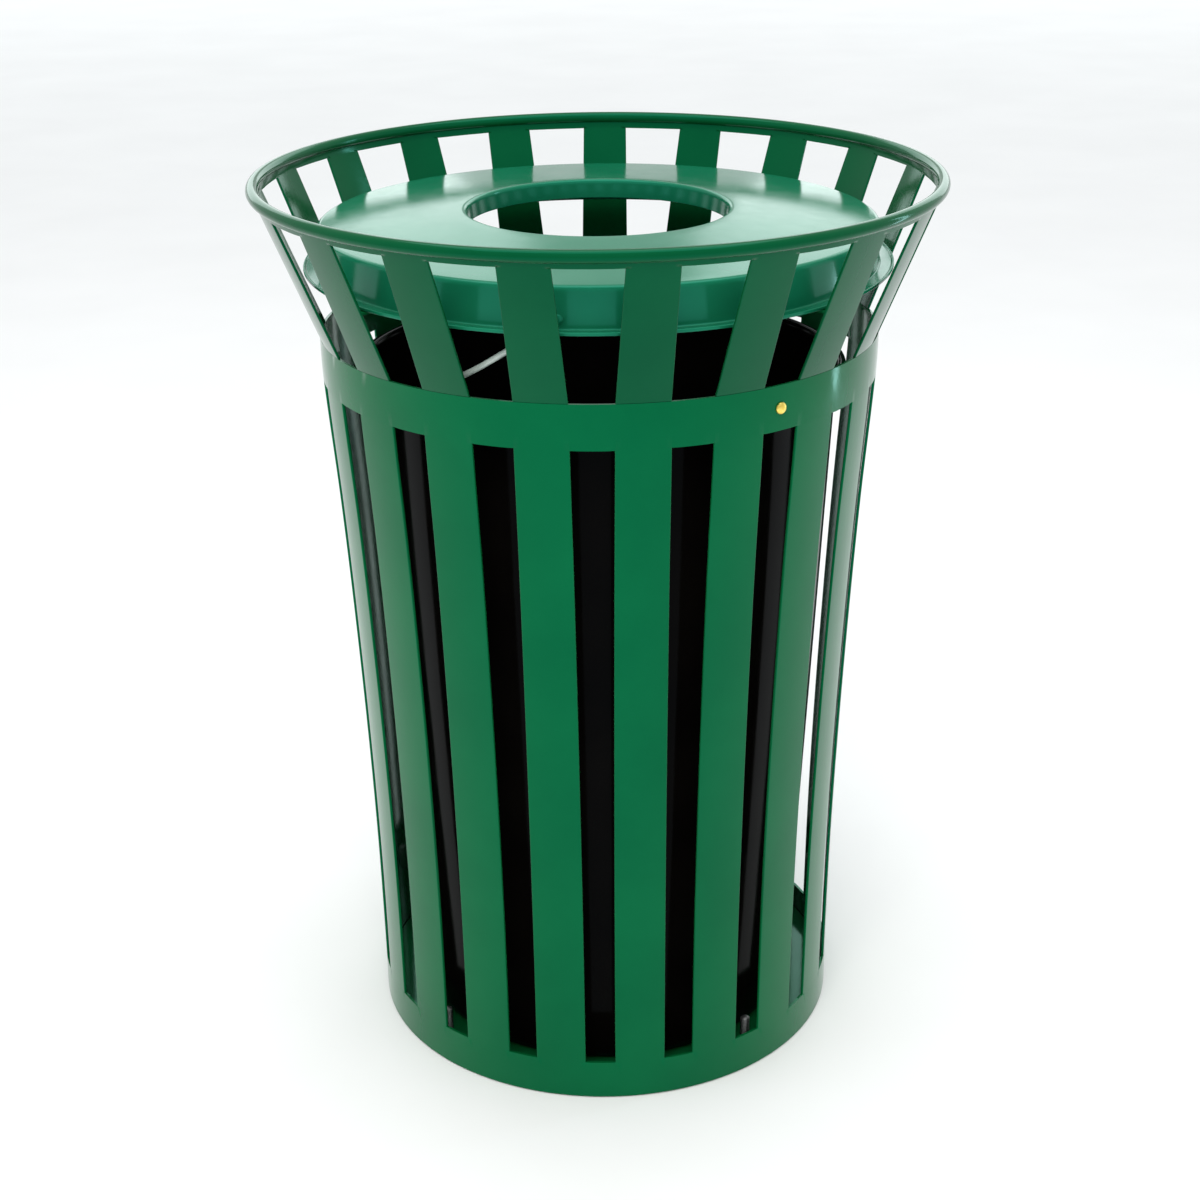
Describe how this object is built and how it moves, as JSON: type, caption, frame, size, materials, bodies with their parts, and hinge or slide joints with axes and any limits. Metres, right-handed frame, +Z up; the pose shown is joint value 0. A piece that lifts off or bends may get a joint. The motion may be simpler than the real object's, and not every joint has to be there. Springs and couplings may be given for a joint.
{
  "type": "litter bin",
  "caption": "Round slatted steel litter bin with a flared mouth, a recessed lid with a round hole, a rigid black liner and levelling feet.",
  "frame": {"origin": "centre of the footprint, on the ground under the levelling feet", "axes": "+Z up along the bin's axis of revolution, -Y towards the front, where an opening between slats is almost centred"},
  "size_m": [0.7112, 0.7112, 0.9514],
  "materials": {
    "green_powder_coat": "glossy dark green powder coat",
    "green_lid": "glossy dark green powder coat",
    "black_liner": "glossy moulded black polyethylene",
    "zinc_steel": "bright zinc plate",
    "foot_steel": "dull zinc plate",
    "brass": "yellow, lightly worn",
    "vinyl_cable": "pale grey vinyl over wire rope"
  },
  "bodies": {
    "frame": {"base_band": "green_powder_coat", "mid_band": "green_powder_coat", "rim_ring": "green_powder_coat", "floor_plate": "green_powder_coat", "slat_01": "green_powder_coat", "slat_02": "green_powder_coat", "slat_03": "green_powder_coat", "slat_04": "green_powder_coat", "slat_05": "green_powder_coat", "slat_06": "green_powder_coat", "slat_07": "green_powder_coat", "slat_08": "green_powder_coat", "slat_09": "green_powder_coat", "slat_10": "green_powder_coat", "slat_11": "green_powder_coat", "slat_12": "green_powder_coat", "slat_13": "green_powder_coat", "slat_14": "green_powder_coat", "slat_15": "green_powder_coat", "slat_16": "green_powder_coat", "slat_17": "green_powder_coat", "slat_18": "green_powder_coat", "slat_19": "green_powder_coat", "flare_slat_01": "green_powder_coat", "flare_slat_02": "green_powder_coat", "flare_slat_03": "green_powder_coat", "flare_slat_04": "green_powder_coat", "flare_slat_05": "green_powder_coat", "flare_slat_06": "green_powder_coat", "flare_slat_07": "green_powder_coat", "flare_slat_08": "green_powder_coat", "flare_slat_09": "green_powder_coat", "flare_slat_10": "green_powder_coat", "flare_slat_11": "green_powder_coat", "flare_slat_12": "green_powder_coat", "flare_slat_13": "green_powder_coat", "flare_slat_14": "green_powder_coat", "flare_slat_15": "green_powder_coat", "flare_slat_16": "green_powder_coat", "flare_slat_17": "green_powder_coat", "flare_slat_18": "green_powder_coat", "flare_slat_19": "green_powder_coat", "lid_rest_1": "green_powder_coat", "lid_rest_2": "green_powder_coat", "lid_rest_3": "green_powder_coat", "lid_rest_4": "green_powder_coat", "tether_bolt": "brass", "eye_nut": "zinc_steel"},
    "liner": {"liner": "black_liner", "tether_cable": "vinyl_cable", "snap_hook": "zinc_steel"},
    "lid": {"lid": "green_lid", "cable_lug": "zinc_steel", "lid_rivet": "green_lid"},
    "foot_1": {"leveling_foot_1": "foot_steel"},
    "foot_2": {"leveling_foot_2": "foot_steel"},
    "foot_3": {"leveling_foot_3": "foot_steel"},
    "foot_4": {"leveling_foot_4": "foot_steel"}
  },
  "joints": [
    {"name": "liner_lift", "type": "slide", "parent": "frame", "child": "liner", "axis": [0, 0, 1], "range_m": [0, 0.95], "deforming": ["snap_hook", "tether_cable"]},
    {"name": "lid_lift", "type": "slide", "parent": "liner", "child": "lid", "axis": [0, 0, 1], "range_m": [0, 0.15], "deforming": ["tether_cable"]},
    {"name": "foot_1_screw", "type": "slide", "parent": "frame", "child": "foot_1", "axis": [0, 0, -1], "range_m": [0, 0.02]},
    {"name": "foot_2_screw", "type": "slide", "parent": "frame", "child": "foot_2", "axis": [0, 0, -1], "range_m": [0, 0.02]},
    {"name": "foot_3_screw", "type": "slide", "parent": "frame", "child": "foot_3", "axis": [0, 0, -1], "range_m": [0, 0.02]},
    {"name": "foot_4_screw", "type": "slide", "parent": "frame", "child": "foot_4", "axis": [0, 0, -1], "range_m": [0, 0.02]}
  ]
}
